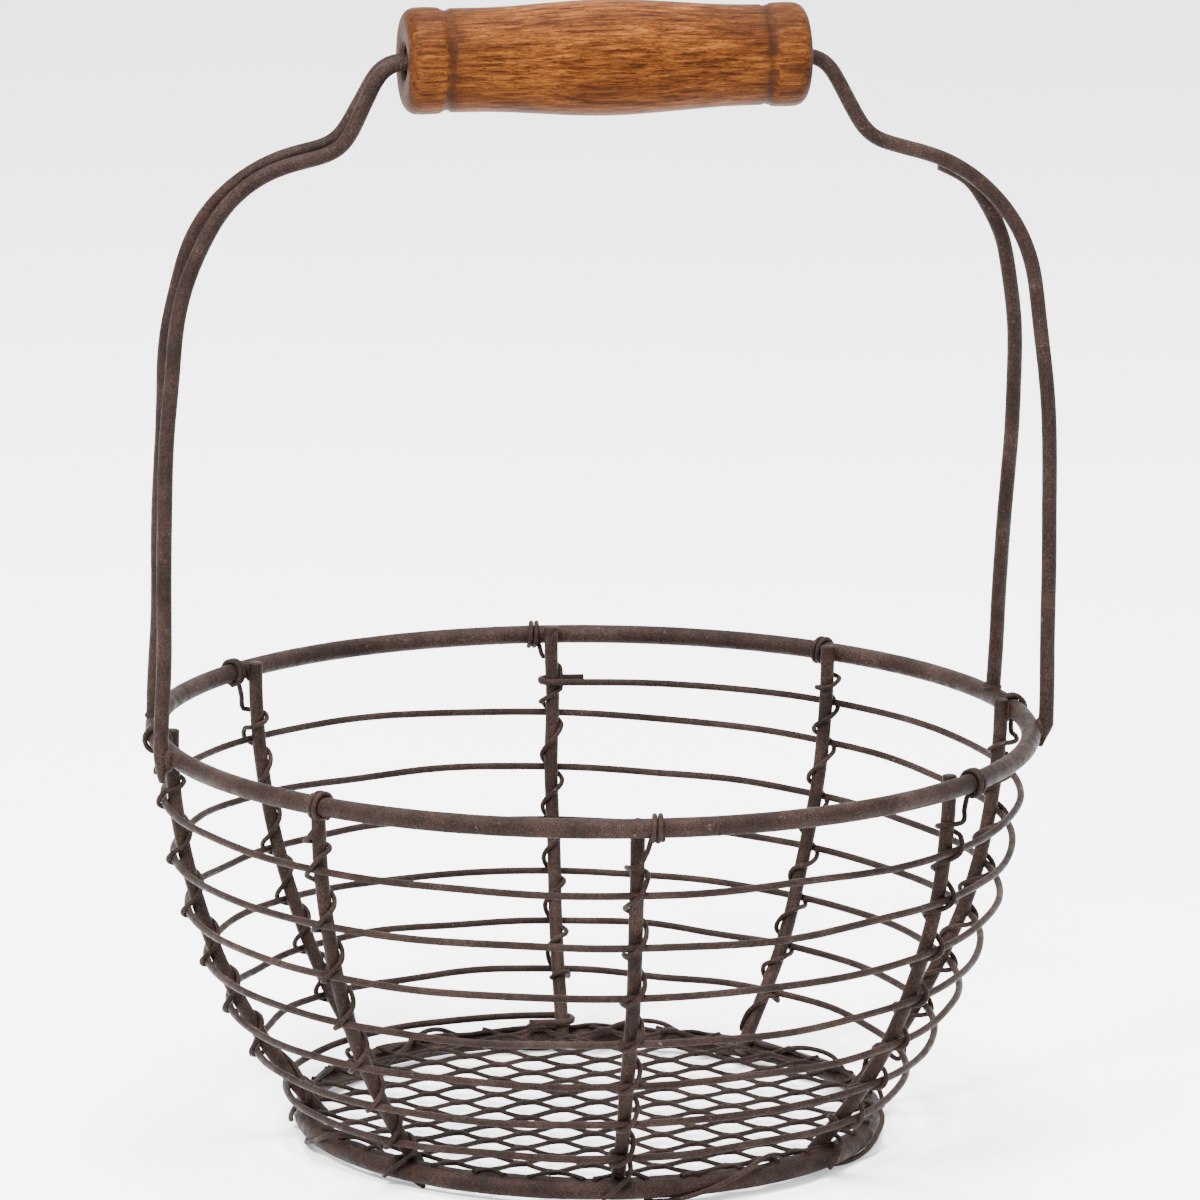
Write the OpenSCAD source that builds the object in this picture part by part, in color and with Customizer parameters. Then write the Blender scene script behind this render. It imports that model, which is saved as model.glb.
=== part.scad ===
// Wire egg basket: a bowl of eight ribs between a rim ring and a base ring, one thin wire wound
// round it as a spiral, a binding wire down each rib, an expanded-metal floor laced to the base
// ring, and a welded wire handle with a loose turned wooden grip.
// +Z up, +Y to the back, the handle along X. The origin is on the ground, under the middle.

/* [Rings] */
// Radius of the rim ring, at the middle of its wire
rim_r = 100; // [90:1:110]
// Radius of the base ring, at the middle of its wire
base_r = 66; // [60:1:72]
// Height of the rim ring above the base ring
wall_h = 91; // [80:1:100]
// Diameter of the wire of both rings
ring_d = 4.4; // [4:0.1:5]
// Gap where the two ends of a ring's wire are butted together
butt_gap = 0.4; // [0.2:0.1:1]

/* [Ribs and weave] */
// Diameter of the rib wire
rib_d = 3.3; // [3:0.1:3.6]
// Diameter of the spiral weave wire
weave_d = 1.7; // [1.4:0.1:2]
// Turns of the weave wire
weave_turns = 7; // [7]
// Diameter of the binding wires and of the floor lacing
binding_d = 1.2; // [1:0.1:1.3]

/* [Floor] */
// Length of one diamond of the expanded metal
diamond_l = 15.6; // [14:0.1:18]
// Width of one diamond of the expanded metal
diamond_w = 12.9; // [12:0.1:16]
// Width of a strand, and thickness of the sheet
strand = 1; // [0.8:0.1:1.2]
// Turn of the diamond pattern about the vertical
floor_turn = -12.5; // [-30:0.5:30]

/* [Handle] */
// Height of the grip's axis above the rim ring
grip_rise = 154; // [140:1:170]
// Diameter of the handle wire
handle_d = 3.5; // [3.2:0.1:4]
// Angle from the handle's plane to each foot, round the rim
foot_angle = 10.5; // [8:0.5:18]
// Length of the wooden grip
grip_l = 92; // [80:1:100]
// Diameter of the grip in the middle
grip_d = 26.2; // [24:0.1:30]
// Diameter of the hole through the grip
grip_bore = 7.9; // [7.9:0.1:9]
// Distance of the loose grip's middle from the middle of the handle
grip_shift = 1.5; // [-1.5:0.1:1.5]

/* [Hidden] */

// Clock angles of the two rings' joints: 0 is the front, 90 is +X
rim_joint_at = 5;
base_joint_at = 3;
// Clock angles of the ribs, set by hand
rib_at = [-5, 44.5, 90.5, 133.5, 175, 224.5, 267, 310.5];
// The rib where the weave wire starts and ends
hook_rib = 4;
// How far welded wires sink into each other, and how far laid wires stay apart
bite = 0.15;
slack = 0.05;

// A wound wire has ten points a turn, and its straight pieces stay clear of what it is wound on
wind_steps = 10;
wind_clear = 1 / cos(180 / wind_steps);
coil_r = ((ring_d + binding_d) / 2 + slack) * wind_clear;
coil_pitch = binding_d + 0.15;
coil_turns = 2;

base_z = coil_r + binding_d / 2;
rim_z = base_z + wall_h;
grip_z = rim_z + grip_rise;

// A rib is a circular arc, upright at the rim, that ends inside the base ring
rib_top_r = rim_r - (ring_d + rib_d) / 2 + bite;
rib_foot_r = base_r - 4.3;
rib_foot_z = base_z + 0.8;
rib_drop = rim_z - rib_foot_z;
rib_inset = rib_top_r - rib_foot_r;
rib_arc_r = (pow(rib_drop, 2) + pow(rib_inset, 2)) / (2 * rib_inset);
// How far each rib's end stands above the middle of the rim
rib_over = [0.4, 1.8, 2.6, 2, 2.4, 2, 1.2, 0.4];

// The weave lies on the ribs' outside
weave_off = (rib_d + weave_d) / 2 + slack;
// Points of the weave from one rib to the next
bay_steps = 5;
// Heights of the weave above the base ring: the first turn is nearly level, then it winds down
weave_h0 = 79;
weave_first_drop = 8.1;
weave_pitch = 13;
weave_easing = 0.32;
// The turns hang lower on one side by this much, at the top of the wall
weave_sag = 2;
weave_low_at = 35;
hook_tail = 8;
// Part of a turn over which the wire passes from inside the first rib to outside the next
hook_ease = 0.085;

// A binding wire winds round the rib, and over the weave where they cross
binding_off = ((rib_d + binding_d) / 2 + slack) * wind_clear;
binding_far = weave_off + (weave_d + binding_d) / 2 + 0.33;
// Turns of the weave closer to the base ring than this are not bound to the ribs
lowest_bound = 7.5;

// The lacing goes once round the base ring in each bay but the last; 0.12 of a bay past a rib it
// is underneath
lace_phase = 0.12;
floor_z = base_z + ring_d / 2;
floor_edge_r = base_r + 1.1;
floor_band = 2;
// The diamonds' pattern is this far from the middle, along and across the diamonds
floor_shift = [1.9, 4.3];

pair_y = (handle_d + slack) / 2;
// The front feet are welded to the outside of the rim, and the back feet stand on top of it
front_foot_r = rim_r + (ring_d + handle_d) / 2 - bite;
back_foot_r = rim_r + 0.3;
left_foot_z = rim_z - 5;
right_foot_z = rim_z - 3.8;
back_foot_z = rim_z + ring_d / 2 - 0.5;
// The two wires of a side begin to part at this height
shoulder_z = grip_z - 28;
// Bends of the handle's wires from the middle of the grip outwards: distance from the middle,
// height over the grip's axis, and bend radius
bail_left = [[49, 0, 4], [58.4, -20, 6], [82.6, -25.3, 29], [96.4, -53, 60], [99.2, -83, 150]];
bail_right = [[51.7, 0, 4], [62.2, -19.2, 5], [98.6, -29, 35], [104.2, -85, 150]];
doubler_left = [[49, 0, 4], [58.5, -18.4, 6], [88.5, -24.2, 33], [97.6, -63, 60], [97.8, -100, 150]];
brace_right = [[87.3, -29.3, 5], [95, -42, 25], [99.9, -65, 40], [99.4, -98, 150]];
brace_start = [80, -25.9];

// ---- vectors and paths ----

function unit(v) = v / norm(v);
function square_to(v, t) = unit(v - (v * t) * t);
function smooth(x) = let (k = min(1, max(0, x))) k * k * (3 - 2 * k);
function lerp_list(x, xs, ys, i = 0) =
    i >= len(xs) - 2 || x <= xs[i + 1]
        ? ys[i] + (ys[i + 1] - ys[i]) * (x - xs[i]) / (xs[i + 1] - xs[i])
        : lerp_list(x, xs, ys, i + 1);

// Point at a clock angle, radius and height
function polar(clock, r, z) = [r * sin(clock), -r * cos(clock), z];
function outward(clock) = [sin(clock), -cos(clock), 0];
function along(clock) = [cos(clock), sin(clock), 0];

// Arc of radius r in the corner b, from the line a-b to the line b-c, in steps
function corner_arc(a, b, c, r, steps) =
    let (u = unit(a - b), v = unit(c - b), half = acos(u * v) / 2, turn = 180 - 2 * half,
        centre = b + unit(u + v) * r / sin(half),
        s = b + u * r / tan(half) - centre, e = b + v * r / tan(half) - centre)
    [for (i = [0:steps])
        centre + (s * sin(turn * (1 - i / steps)) + e * sin(turn * i / steps)) / sin(turn)];

// Line through corners, each with its own radius
function rounded(corners, radii, steps) =
    let (last = len(corners) - 1)
    concat([corners[0]],
        [for (i = [1:last - 1])
            each corner_arc(corners[i - 1], corners[i], corners[i + 1], radii[i], steps)],
        [corners[last]]);

// Wire of diameter d along a path, as a tube with flat ends
module wire(path, d, sides = 6, first = [0, 0, 1]) {
    last = len(path) - 1;
    t = [for (i = [0:last]) unit(path[min(i + 1, last)] - path[max(i - 1, 0)])];
    n = [for (i = 0, v = square_to(first, t[0]); i <= last; i = i + 1,
        v = square_to(v, t[min(i, last)])) v];
    points = [for (i = [0:last], j = [0:sides - 1])
        let (a = 360 * j / sides) path[i] + d / 2 * (cos(a) * n[i] + sin(a) * cross(t[i], n[i]))];
    walls = [for (i = [0:last - 1], j = [0:sides - 1])
        let (k = (j + 1) % sides, p = i * sides, q = p + sides)
        each [[p + j, q + j, q + k], [p + j, q + k, p + k]]];
    cap_a = [for (j = [0:sides - 1]) j];
    cap_b = [for (j = [sides - 1:-1:0]) last * sides + j];
    polyhedron(points, concat(walls, [cap_a], [cap_b]));
}

// ---- the wall: where a rib is, and the wire on its outside ----

function rib_clock(n) = let (turn = floor(n / len(rib_at))) rib_at[n - turn * len(rib_at)] + 360 * turn;
// Clock angle after b bays, counted from the first rib
function bay_clock(b) = let (n = floor(b)) rib_clock(n) + (b - n) * (rib_clock(n + 1) - rib_clock(n));
function rib_r(z) = rib_top_r - rib_arc_r + sqrt(pow(rib_arc_r, 2) - pow(rim_z - z, 2));
function rib_lean(z) = asin((rim_z - z) / rib_arc_r);

function weave_level(t) = t < 1
    ? weave_h0 - weave_first_drop * t * t
    : weave_h0 - weave_first_drop - weave_pitch * (t - 1) + weave_easing * pow(t - 1, 2);
function weave_clock(t) = bay_clock(hook_rib - len(rib_at) * t);
function weave_z(t) = base_z
    + weave_level(t) * (1 - weave_sag / weave_h0 * cos(weave_clock(t) - weave_low_at));
function weave_point(t) =
    let (z = weave_z(t), inside = 1 - smooth(t / hook_ease))
    polar(weave_clock(t), rib_r(z) + weave_off * (1 - 2 * inside) / cos(rib_lean(z)), z);

// Where the weave crosses a rib for the k-th time, in turns
function cross_turn(rib, k) = let (t = (hook_rib - rib) / len(rib_at)) t - floor(t) + k;

// ---- parts ----

module ring(r, z, joint_at) {
    gap = butt_gap / r * 180 / PI;
    translate([0, 0, z])
        rotate([0, 0, joint_at - 90 + gap / 2])
            rotate_extrude(angle = 360 - gap, $fn = 96)
                translate([r, 0])
                    circle(d = ring_d, $fn = 32);
}

module rim_ring() {
    color("#54463f") ring(rim_r, rim_z, rim_joint_at);
}

module base_ring() {
    color("#54463f") ring(base_r, base_z, base_joint_at);
}

module rib(i) {
    low = asin(rib_drop / rib_arc_r);
    high = asin(rib_over[i] / rib_arc_r);
    color("#54463f")
        rotate([0, 0, rib_at[i] - 90])
            translate([rib_top_r - rib_arc_r, 0, rim_z])
                rotate([90, 0, 0])
                    rotate([0, 0, -low])
                        rotate_extrude(angle = low + high, $fn = 96)
                            translate([rib_arc_r, 0])
                                circle(d = rib_d, $fn = 24);
}

// Point beside the first rib at height z: out and ahead are counted in half thicknesses of the pair
function hook_point(z, out, ahead) =
    let (clock = rib_at[hook_rib])
    polar(clock, rib_r(z), z)
        + weave_off * (out / cos(rib_lean(z)) * outward(clock) - ahead * along(clock));

module weave_wire() {
    // Both ends go round the rib and lie back along the wire
    tail = hook_tail / weave_off;
    top = weave_z(0);
    foot = weave_z(weave_turns);
    start = concat([hook_point(top, 1, tail), hook_point(top, 1, tail / 2)],
        [for (a = [0:30:150]) hook_point(top, cos(a), -sin(a))]);
    end = concat([for (a = [30:30:180]) hook_point(foot, cos(a), sin(a))],
        [hook_point(foot, -1, -tail / 2), hook_point(foot, -1, -tail)]);
    steps = bay_steps * len(rib_at);
    color("#5f5049")
        wire(concat(start, [for (i = [0:weave_turns * steps]) weave_point(i / steps)], end), weave_d);
}

// Point beside rib i at height z, so far along the wall and so far out from the rib
function beside(i, z, side, out) =
    let (clock = rib_at[i], lean = rib_lean(z))
    polar(clock, rib_r(z), z) + side * along(clock)
        + out * (cos(lean) * outward(clock) - [0, 0, sin(lean)]);
// Point of a binding wire that has turned by a round rib i, whose wire is at height z there
function binding_point(i, a, z) =
    beside(i, z, binding_off * cos(a), (sin(a) < 0 ? binding_off : binding_far) * sin(a));

function binding_path(i) =
    let (clock = rib_at[i], out = outward(clock), side = along(clock), rim = polar(clock, rim_r, rim_z),
        // Two turns round the rim beside the rib, ending underneath
        coil = [for (s = [0:coil_turns * wind_steps])
            let (v = s / wind_steps, a = 360 * (coil_turns - v) - 100)
            rim + (coil_r + slack) * (cos(a) * out + [0, 0, sin(a)])
                + (binding_off + 0.4 + coil_pitch * (coil_turns - v)) * side],
        // Then once round the rib for each turn of the weave, on its outside where they cross
        hooked = i == hook_rib,
        crossings = [for (k = [hooked ? 1 : 0:weave_turns - 1]) let (z = weave_z(cross_turn(i, k)))
            if (z > base_z + lowest_bound) z + weave_off * sin(rib_lean(z))],
        // It first passes the rib's outside well below the rim, if the weave hangs low enough there.
        // On the first rib it goes straight down past the weave's hooked start, on the free side
        start = weave_z(0),
        past_hook = hooked ? [[162, start + 2.5], [198, start - 2.5]] : [],
        pass = min(rim_z - 5.6, crossings[0] + 7),
        before = concat([[36, rim_z - 4.9], [90, hooked ? rim_z - 5.6 : pass]], past_hook,
            [[396, crossings[0] + 2.9]]),
        last = 450 + 360 * (len(crossings) - 1),
        turns = concat([for (b = before) b[0]], [for (a = [450:360:last]) a]),
        heights = concat([for (b = before) b[1]], crossings),
        helix = [for (a = concat([36], [for (b = [54:360 / wind_steps:last]) b]))
            binding_point(i, a, lerp_list(a, turns, heights))])
    concat(coil, helix, binding_end(i, last, crossings[len(crossings) - 1]));

// The end passes down over the weave and behind the rib. On the first rib it is cut off there, and
// on the others it goes over the base ring and down its outside
function binding_end(i, last, z) =
    let (clock = rib_at[i], out = outward(clock), side = along(clock),
        low = i == hook_rib ? z - 3 : base_z + 6.4, ring = polar(clock, base_r, base_z),
        behind = [for (a = [102:36:246])
            binding_point(i, last + a, z - 1.7 + (low - z + 1.7) * (a - 102) / 144)],
        over = [ring + 2.5 * side - 0.3 * out + [0, 0, 5.2], ring + 1.9 * side + 1.9 * out + [0, 0, 3.9],
            ring + 0.4 * side + 2.7 * out + [0, 0, 2.2], ring - 2 * side + 3.1 * out + [0, 0, 0.2],
            ring - 4 * side + 2.8 * out - [0, 0, 1.3]])
    concat([beside(i, z - 0.5, -1, binding_far), beside(i, z - 1.6, -2.5, 2.7)],
        behind, i == hook_rib ? [] : over);

module binding(i) {
    color("#5f5049") wire(binding_path(i), binding_d);
}

// One opening of the expanded metal, a diamond with blunt ends where the strands are joined
module diamond() {
    bond = 2.4;
    x = diamond_l / 2 - strand * 0.75;
    y = diamond_w / 2 - strand * 0.75;
    polygon([[-x, 0], [-bond / 2, -y], [bond / 2, -y], [x, 0], [bond / 2, y], [-bond / 2, y]]);
}

function diamond_at(column, row) = [column * diamond_l, row * diamond_w] + floor_shift;

module floor_mesh() {
    rows = ceil(base_r / diamond_w);
    columns = ceil(base_r / diamond_l);
    color("#4b3e38")
        translate([0, 0, floor_z])
            linear_extrude(height = strand)
                difference() {
                    circle(r = floor_edge_r, $fn = 96);
                    intersection() {
                        circle(r = floor_edge_r - floor_band, $fn = 96);
                        rotate([0, 0, floor_turn])
                            union()
                                for (i = [-columns:columns], j = [-rows:rows], half = [0, 0.5])
                                    let (at = diamond_at(i + half, j + half))
                                    if (norm(at) < base_r + 4)
                                        translate(at)
                                            diamond();
                    }
                    for (clock = rib_at)
                        translate(polar(clock, rib_r(floor_z + strand / 2), 0))
                            circle(r = rib_d / 2 / cos(rib_lean(floor_z)) + 0.5, $fn = 24);
                }
}

module floor_lacing() {
    path = [for (s = [1:(len(rib_at) - 1) * wind_steps + 1])
        let (bay = s / wind_steps, clock = bay_clock(bay), a = 360 * (bay - lace_phase),
            // It stands off over the floor's edge, on top of the ring
            r = coil_r + (strand + 0.2) * smooth((-cos(a) - 0.2) / 0.6))
        polar(clock, base_r + r * sin(a), base_z - r * cos(a))];
    color("#5f5049") wire(path, binding_d);
}

// One side of a handle wire seen from the front: from a start over its bends to a foot
function side_line(start, bends, foot) = rounded(
    concat([start + [0, grip_z]], [for (b = bends) [b[0], grip_z + b[1]]], [foot]),
    concat([0], [for (b = bends) b[2]], [0]), 4);
function foot_at(r, z) = [r * cos(foot_angle), z];
// The wires of a side lie together from the grip to the shoulder, then part towards their feet
function spread(z, r) = let (foot_y = r * sin(foot_angle))
    pair_y + (foot_y - pair_y) * max(0, min(1, (shoulder_z - z) / (shoulder_z - rim_z)));

module bail_wire() {
    to_right = side_line([0, 0], bail_right, foot_at(front_foot_r, right_foot_z));
    to_left = side_line([0, 0], bail_left, foot_at(front_foot_r, left_foot_z));
    right = [for (i = [len(to_right) - 1:-1:1])
        let (p = to_right[i]) [p[0], -spread(p[1], front_foot_r), p[1]]];
    left = [for (i = [1:len(to_left) - 1])
        let (p = to_left[i]) [-p[0], -spread(p[1], front_foot_r), p[1]]];
    color("#54463f") wire(concat(right, left), handle_d, 10, [0, 1, 0]);
}

module bail_doubler() {
    // It starts inside the right end of the grip
    inside = 40;
    line = side_line([-inside, 0], doubler_left, foot_at(back_foot_r, back_foot_z));
    color("#54463f")
        wire([for (p = line) [-p[0], spread(p[1], back_foot_r), p[1]]], handle_d, 10, [0, 1, 0]);
}

module handle_brace() {
    // It starts under the right shoulder
    line = side_line(brace_start, brace_right, foot_at(back_foot_r, back_foot_z));
    color("#54463f")
        wire([for (p = line) [p[0], spread(p[1], back_foot_r), p[1]]], handle_d, 10, [0, 1, 0]);
}

module grip() {
    // Half outline: rounded end beads, a groove inside each, and a long swell between
    bead_r = 12;
    neck_r = 11.2;
    bead_l = 9.5;
    round_r = 3;
    half = grip_l / 2;
    // The swell ends at a small lip, and the groove's floor runs from there to the bead's shoulder
    lip_r = neck_r + 0.5;
    lip = half - bead_l - 1.4;
    groove = [lip + 0.8, lip + 1.6];
    shoulder = lip + 3;
    // Cylindrical next to the lips
    swell_reach = 0.85;
    swell = [for (i = [-10:10]) let (x = i / 10)
        [lip_r + (grip_d / 2 - lip_r) * (1 + cos(180 * min(1, abs(x) / swell_reach))) / 2, x * lip]];
    bead = [for (a = [0:15:90]) [bead_r - round_r + round_r * sin(a), half - round_r + round_r * cos(a)]];
    top = concat([[neck_r, groove[0]], [neck_r, groove[1]], [bead_r, shoulder]],
        [for (i = [len(bead) - 1:-1:0]) bead[i]]);
    bottom = [for (i = [len(top) - 1:-1:0]) [top[i][0], -top[i][1]]];
    outline = concat([[grip_bore / 2, -half]], bottom, swell, top, [[grip_bore / 2, half]]);
    color("#8a4a1c")
        translate([grip_shift, 0, grip_z])
            rotate([0, 90, 0])
                rotate_extrude($fn = 64)
                    polygon(outline);
}

rim_ring();
base_ring();
for (i = [0:len(rib_at) - 1])
    rib(i);
weave_wire();
for (i = [0:len(rib_at) - 1])
    binding(i);
floor_mesh();
floor_lacing();
bail_wire();
bail_doubler();
handle_brace();
grip();
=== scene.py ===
"""Wire egg basket with a turned wooden grip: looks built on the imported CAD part."""
import math
import random

import bmesh
import bpy
import numpy as np
from mathutils import Matrix, Vector


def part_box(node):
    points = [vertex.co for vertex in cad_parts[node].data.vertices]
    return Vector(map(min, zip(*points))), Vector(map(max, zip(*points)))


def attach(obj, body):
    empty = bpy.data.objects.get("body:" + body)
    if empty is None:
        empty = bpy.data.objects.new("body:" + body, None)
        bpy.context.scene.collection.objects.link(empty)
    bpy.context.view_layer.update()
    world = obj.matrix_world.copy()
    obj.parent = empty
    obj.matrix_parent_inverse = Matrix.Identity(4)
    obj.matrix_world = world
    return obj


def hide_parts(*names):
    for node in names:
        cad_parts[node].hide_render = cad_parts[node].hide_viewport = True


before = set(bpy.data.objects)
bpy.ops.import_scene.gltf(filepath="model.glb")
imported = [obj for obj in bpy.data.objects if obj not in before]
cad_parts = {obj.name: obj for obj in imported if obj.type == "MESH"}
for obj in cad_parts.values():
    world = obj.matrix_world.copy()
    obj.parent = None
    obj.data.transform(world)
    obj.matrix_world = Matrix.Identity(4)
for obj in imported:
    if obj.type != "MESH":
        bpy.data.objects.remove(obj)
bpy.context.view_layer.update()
MM = 0.001

# ---- sizes, in mm, as the CAD part has them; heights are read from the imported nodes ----
# Clock angles of the ribs, in degrees: 0 is the front, 90 is +X
RIBS = [-5, 44.5, 90.5, 133.5, 175, 224.5, 267, 310.5]
BAYS = len(RIBS)
# The rib where the weave wire starts and ends, counted from 0
HOOK = 4
RING_D, RIB_D, WEAVE_D, BIND_D, HANDLE_D = 4.4, 3.3, 1.7, 1.2, 3.5
RIM_R, BASE_R = 100, 66
# Clock angles of the two rings' butt joints
RIM_JOINT, BASE_JOINT = 5, 3
# How far welded wires sink into each other, and how far laid wires stay apart
BITE, SLACK = 0.15, 0.05


def middle(node, axis=2):
    """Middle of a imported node's box, in mm."""
    low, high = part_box(node)
    return (low[axis] + high[axis]) / 2 / MM


BASE_Z, RIM_Z, GRIP_Z = middle("base_ring"), middle("rim_ring"), middle("grip")
GRIP_X = middle("grip", 0)
# A rib is a circular arc, upright at the rim, that ends inside the base ring
RIB_TOP_R = RIM_R - (RING_D + RIB_D) / 2 + BITE
RIB_FOOT_R, RIB_FOOT_Z = BASE_R - 4.3, BASE_Z + 0.8
DROP, INSET = RIM_Z - RIB_FOOT_Z, RIB_TOP_R - RIB_FOOT_R
ARC_R = (DROP**2 + INSET**2) / (2 * INSET)
# The weave lies on the ribs' outside
WEAVE_OFF = (RIB_D + WEAVE_D) / 2 + SLACK
TURNS = 7
# Heights of the weave above the base ring: the first turn is nearly level, then it winds down
WEAVE_TOP, FIRST_DROP, PITCH, EASING = 79, 8.1, 13, 0.32
# The turns hang lower on one side by this much, at the top of the wall
SAG, LOW_AT = 2, 35
HOOK_TAIL = 8
# Part of a turn over which the wire passes from inside the first rib to outside the next
HOOK_EASE = 0.085
# A binding wire winds twice round the rim, then round the rib, and over the weave at a crossing
COIL_TURNS = 2
COIL_R = (RING_D + BIND_D) / 2
COIL_PITCH = BIND_D + 0.1
BIND_OFF = (RIB_D + BIND_D) / 2
BIND_FAR = WEAVE_OFF + (WEAVE_D + BIND_D) / 2 + SLACK
# How far out from the rib a binding wire comes down from under the rim
UNDER_RIM = 3.1
# Turns of the weave closer to the base ring than this are not bound to the ribs
LOWEST_BOUND = 7.5
FLOOR_Z = BASE_Z + RING_D / 2
# 0.12 of a bay past a rib, the lacing is underneath the base ring
LACE_PHASE = 0.12
PAIR_Y = (HANDLE_D + SLACK) / 2
FOOT_ANGLE = math.radians(10.5)
# The two wires of a side begin to part at this height
SHOULDER_Z = GRIP_Z - 28


# ---- small maths ----
UP = np.array([0, 0, 1.0])


def polar(clock, r, z):
    """Point at a clock angle, radius and height."""
    a = math.radians(clock)
    return np.array([r * math.sin(a), -r * math.cos(a), z])


def outward(clock):
    return polar(clock, 1, 0)


def along(clock):
    return np.array([math.cos(math.radians(clock)), math.sin(math.radians(clock)), 0.0])


def smooth(x):
    k = min(1.0, max(0.0, x))
    return k * k * (3 - 2 * k)


def wobble(seed, wavelength):
    """A smooth random function of one number, between about -1 and 1."""
    rnd = random.Random(seed)
    parts = []
    for _ in range(4):
        parts.append((rnd.uniform(0.6, 1.7) / wavelength, rnd.uniform(0, 6.28), rnd.uniform(0.3, 0.5)))
    return lambda s: sum(w * math.sin(6.2832 * f * s + p) for f, p, w in parts)


def flow(points, step):
    """Points at an even step along a smooth curve through the given points."""
    p = np.array(points, float)
    p = np.vstack([2 * p[0] - p[1], p, 2 * p[-1] - p[-2]])
    out = []
    for i in range(1, len(p) - 2):
        a, b, c, d = p[i - 1 : i + 3]
        slope, bend, twist = c - a, 2 * a - 5 * b + 4 * c - d, 3 * b - a - 3 * c + d
        for t in np.linspace(0, 1, 12, endpoint=False):
            out.append(0.5 * (2 * b + slope * t + bend * t**2 + twist * t**3))
    out.append(p[-2])
    out = np.array(out)
    s = np.concatenate([[0], np.cumsum(np.linalg.norm(np.diff(out, axis=0), axis=1))])
    n = max(4, int(round(s[-1] / step)))
    return np.column_stack([np.interp(np.linspace(0, s[-1], n + 1), s, out[:, k]) for k in range(3)])


def eased(points, step, reach):
    """Even points along straight pieces and arcs, softened over a reach so that no bend is sharp."""
    p = np.array(points, float)
    s = np.concatenate([[0], np.cumsum(np.linalg.norm(np.diff(p, axis=0), axis=1))])
    n = int(round(s[-1] / step))
    u = np.linspace(0, s[-1], n + 1)
    p = np.column_stack([np.interp(u, s, p[:, k]) for k in range(3)])
    w = max(1, int(round(reach / step)))
    ends = p[0].copy(), p[-1].copy()
    for _ in range(3):
        q = np.vstack([2 * p[0] - p[w:0:-1], p, 2 * p[-1] - p[-2 : -2 - w : -1]])
        p = sum(q[k : k + len(p)] for k in range(2 * w + 1)) / (2 * w + 1)
    p[0], p[-1] = ends
    return p


def rounded(corners, steps=14):
    """Line through (x, z, radius) corners, with an arc in each."""
    pts = [np.array(corners[0][:2], float)]
    for a, b, c in zip(corners, corners[1:], corners[2:]):
        r = b[2]
        a, b, c = (np.array(v[:2], float) for v in (a, b, c))
        u, v = (a - b) / np.linalg.norm(a - b), (c - b) / np.linalg.norm(c - b)
        half = math.acos(float(u @ v)) / 2
        centre = b + (u + v) / np.linalg.norm(u + v) * r / math.sin(half)
        s, e = b + u * r / math.tan(half) - centre, b + v * r / math.tan(half) - centre
        turn = math.pi - 2 * half
        for k in range(steps + 1):
            s_part, e_part = math.sin(turn * (1 - k / steps)), math.sin(turn * k / steps)
            pts.append(centre + (s * s_part + e * e_part) / math.sin(turn))
    return pts + [np.array(corners[-1][:2], float)]


# ---- materials ----
BLACK, WHITE = (0, 0, 0), (1, 1, 1)


def grey(level):
    return (level, level, level)


def shader(name, rough, specular):
    m = bpy.data.materials.new(name)
    m.use_nodes = True
    t = m.node_tree
    b = t.nodes["Principled BSDF"]
    b.inputs["Roughness"].default_value = rough
    b.inputs["Specular IOR Level"].default_value = specular
    return m, t, b


def noise(t, scale, detail=4.0, rough=0.6, vector=None, distortion=0.0):
    n = t.nodes.new("ShaderNodeTexNoise")
    n.inputs["Scale"].default_value = scale
    n.inputs["Detail"].default_value = detail
    n.inputs["Roughness"].default_value = rough
    n.inputs["Distortion"].default_value = distortion
    if vector is None:
        c = t.nodes.new("ShaderNodeTexCoord")
        vector = c.outputs["Object"]
    t.links.new(vector, n.inputs["Vector"])
    return n.outputs["Fac"]


def ramp(t, fac, stops):
    """Colours at the places of the stops, blended in between."""
    r = t.nodes.new("ShaderNodeValToRGB")
    e = r.color_ramp.elements
    while len(e) < len(stops):
        e.new(0.5)
    for k, (p, c) in enumerate(stops):
        e[k].position = p
        e[k].color = (*c, 1)
    t.links.new(fac, r.inputs["Fac"])
    return r.outputs["Color"]


def mix(t, fac, a, b, kind="MIX"):
    n = t.nodes.new("ShaderNodeMix")
    n.data_type = "RGBA"
    n.blend_type = kind
    for socket, value in (("Factor", fac), ("A", a), ("B", b)):
        named = [i for i in n.inputs if i.name == socket and i.enabled]
        target = [i for i in named if i.type in ("VALUE", "RGBA")][0]
        if isinstance(value, (int, float)):
            target.default_value = value
        elif isinstance(value, tuple):
            target.default_value = (*value, 1)
        else:
            t.links.new(value, target)
    return [o for o in n.outputs if o.type == "RGBA"][0]


def bump(t, b, height, strength, distance, under=None):
    """Bump on a shader, on top of the bump that is under it."""
    n = t.nodes.new("ShaderNodeBump")
    n.inputs["Strength"].default_value = strength
    n.inputs["Distance"].default_value = distance
    t.links.new(height, n.inputs["Height"])
    if under is not None:
        t.links.new(under, n.inputs["Normal"])
    t.links.new(n.outputs["Normal"], b.inputs["Normal"])
    return n.outputs["Normal"]


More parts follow.
